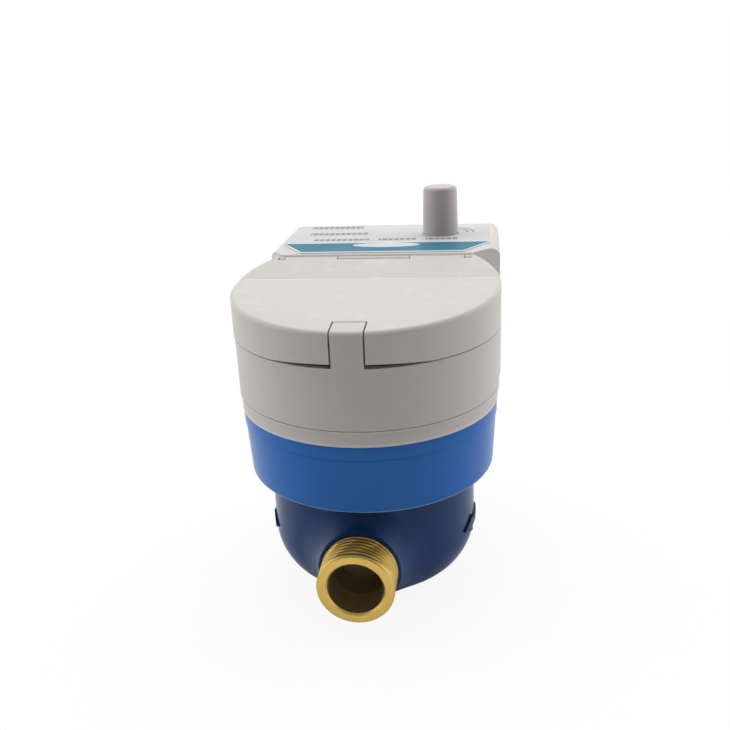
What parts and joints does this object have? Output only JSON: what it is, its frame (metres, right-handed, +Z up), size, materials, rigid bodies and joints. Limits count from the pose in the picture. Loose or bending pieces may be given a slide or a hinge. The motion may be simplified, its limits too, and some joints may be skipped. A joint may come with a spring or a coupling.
{
  "type": "radio water meter",
  "caption": "In-line water meter: round cast bowl with threaded pipe ends, dial under a hinged lid, and an electronics box with a stub antenna behind it.",
  "frame": {"origin": "centre of the flat underside of the bowl, on the register axis", "axes": "+Z up along the register axis, -Y out of the outlet, +X to the right seen from the outlet"},
  "size_m": [0.0953, 0.144, 0.1352],
  "materials": {
    "painted_brass": "glossy navy paint, threaded ends bare brass",
    "brass": "turned",
    "steel": "bright",
    "magnet": "sintered",
    "white_plastic": "moulded",
    "rubber": "black",
    "can_plastic": "dark",
    "red_plastic": "red",
    "roller_black": "black",
    "dial_white": "printed dial",
    "clear_glass": "clear",
    "collar_blue": "blue moulding",
    "housing_grey": "warm grey moulding",
    "lid_grey": "pale warm grey moulding",
    "antenna_grey": "grey moulding",
    "label_print": "printed film",
    "board_green": "solder mask",
    "battery_wrap": "shrink wrap"
  },
  "bodies": {
    "meter": {"meter_body": "painted_brass", "inlet_strainer": "white_plastic", "impeller_pivot": "steel", "chamber_cover": "white_plastic", "cover_seal": "rubber", "clamp_ring": "brass", "register_can": "can_plastic", "movement_plate": "white_plastic", "movement_bridge": "white_plastic", "roller_shaft": "steel", "dial_plate": "dial_white", "glass_gasket": "rubber", "register_glass": "clear_glass", "collar_ring": "collar_blue", "base_shell": "housing_grey", "housing": "housing_grey", "hinge_pin": "steel", "label": "label_print", "antenna_cap": "antenna_grey", "antenna_element": "brass", "circuit_board": "board_green", "radio_module": "steel", "board_screws": "steel", "battery": "battery_wrap", "sensor_board": "board_green", "shell_screws": "steel"},
    "lid_flap": {"lid": "lid_grey"},
    "vane_wheel": {"impeller": "white_plastic", "impeller_magnet": "magnet"},
    "follower": {"follower_magnet": "magnet", "follower_spindle": "steel", "flow_star": "red_plastic"},
    "wheel_one": {"first_wheel": "white_plastic", "first_hand": "red_plastic"},
    "wheel_two": {"second_wheel": "white_plastic", "second_hand": "red_plastic"},
    "number_1": {"roller_1": "red_plastic"},
    "number_2": {"roller_2": "roller_black"},
    "number_3": {"roller_3": "roller_black"},
    "number_4": {"roller_4": "roller_black"},
    "number_5": {"roller_5": "roller_black"}
  },
  "joints": [
    {"name": "lid_hinge", "type": "hinge", "parent": "meter", "child": "lid_flap", "pos_m": [0, 0.026, 0.1131], "axis": [-1, 0, 0], "range_deg": [0, 108]},
    {"name": "impeller_spin", "type": "hinge", "parent": "meter", "child": "vane_wheel", "pos_m": [0, 0, 0.02], "axis": [0, 0, 1], "continuous": true},
    {"name": "follower_spin", "type": "hinge", "parent": "meter", "child": "follower", "pos_m": [0, 0, 0.05], "axis": [0, 0, 1], "continuous": true},
    {"name": "first_wheel_spin", "type": "hinge", "parent": "meter", "child": "wheel_one", "pos_m": [0.01223, -0.00706, 0.06], "axis": [0, 0, 1], "continuous": true},
    {"name": "second_wheel_spin", "type": "hinge", "parent": "meter", "child": "wheel_two", "pos_m": [0.0013, -0.01337, 0.065], "axis": [0, 0, 1], "continuous": true},
    {"name": "roller_1_turn", "type": "hinge", "parent": "meter", "child": "number_1", "pos_m": [0, 0.009, 0.078], "axis": [-1, 0, 0], "continuous": true},
    {"name": "roller_2_turn", "type": "hinge", "parent": "meter", "child": "number_2", "pos_m": [0, 0.009, 0.078], "axis": [-1, 0, 0], "continuous": true},
    {"name": "roller_3_turn", "type": "hinge", "parent": "meter", "child": "number_3", "pos_m": [0, 0.009, 0.078], "axis": [-1, 0, 0], "continuous": true},
    {"name": "roller_4_turn", "type": "hinge", "parent": "meter", "child": "number_4", "pos_m": [0, 0.009, 0.078], "axis": [-1, 0, 0], "continuous": true},
    {"name": "roller_5_turn", "type": "hinge", "parent": "meter", "child": "number_5", "pos_m": [0, 0.009, 0.078], "axis": [-1, 0, 0], "continuous": true}
  ],
  "couplings": [
    {"joint": "follower_spin", "follows": "impeller_spin", "ratio": 1},
    {"joint": "first_wheel_spin", "follows": "impeller_spin", "ratio": -0.27273},
    {"joint": "second_wheel_spin", "follows": "impeller_spin", "ratio": 0.068182},
    {"joint": "roller_1_turn", "follows": "impeller_spin", "ratio": 0.0068182},
    {"joint": "roller_2_turn", "follows": "impeller_spin", "ratio": 0.00068182},
    {"joint": "roller_3_turn", "follows": "impeller_spin", "ratio": 0.000068182},
    {"joint": "roller_4_turn", "follows": "impeller_spin", "ratio": 0.0000068182},
    {"joint": "roller_5_turn", "follows": "impeller_spin", "ratio": 0.00000068182}
  ]
}
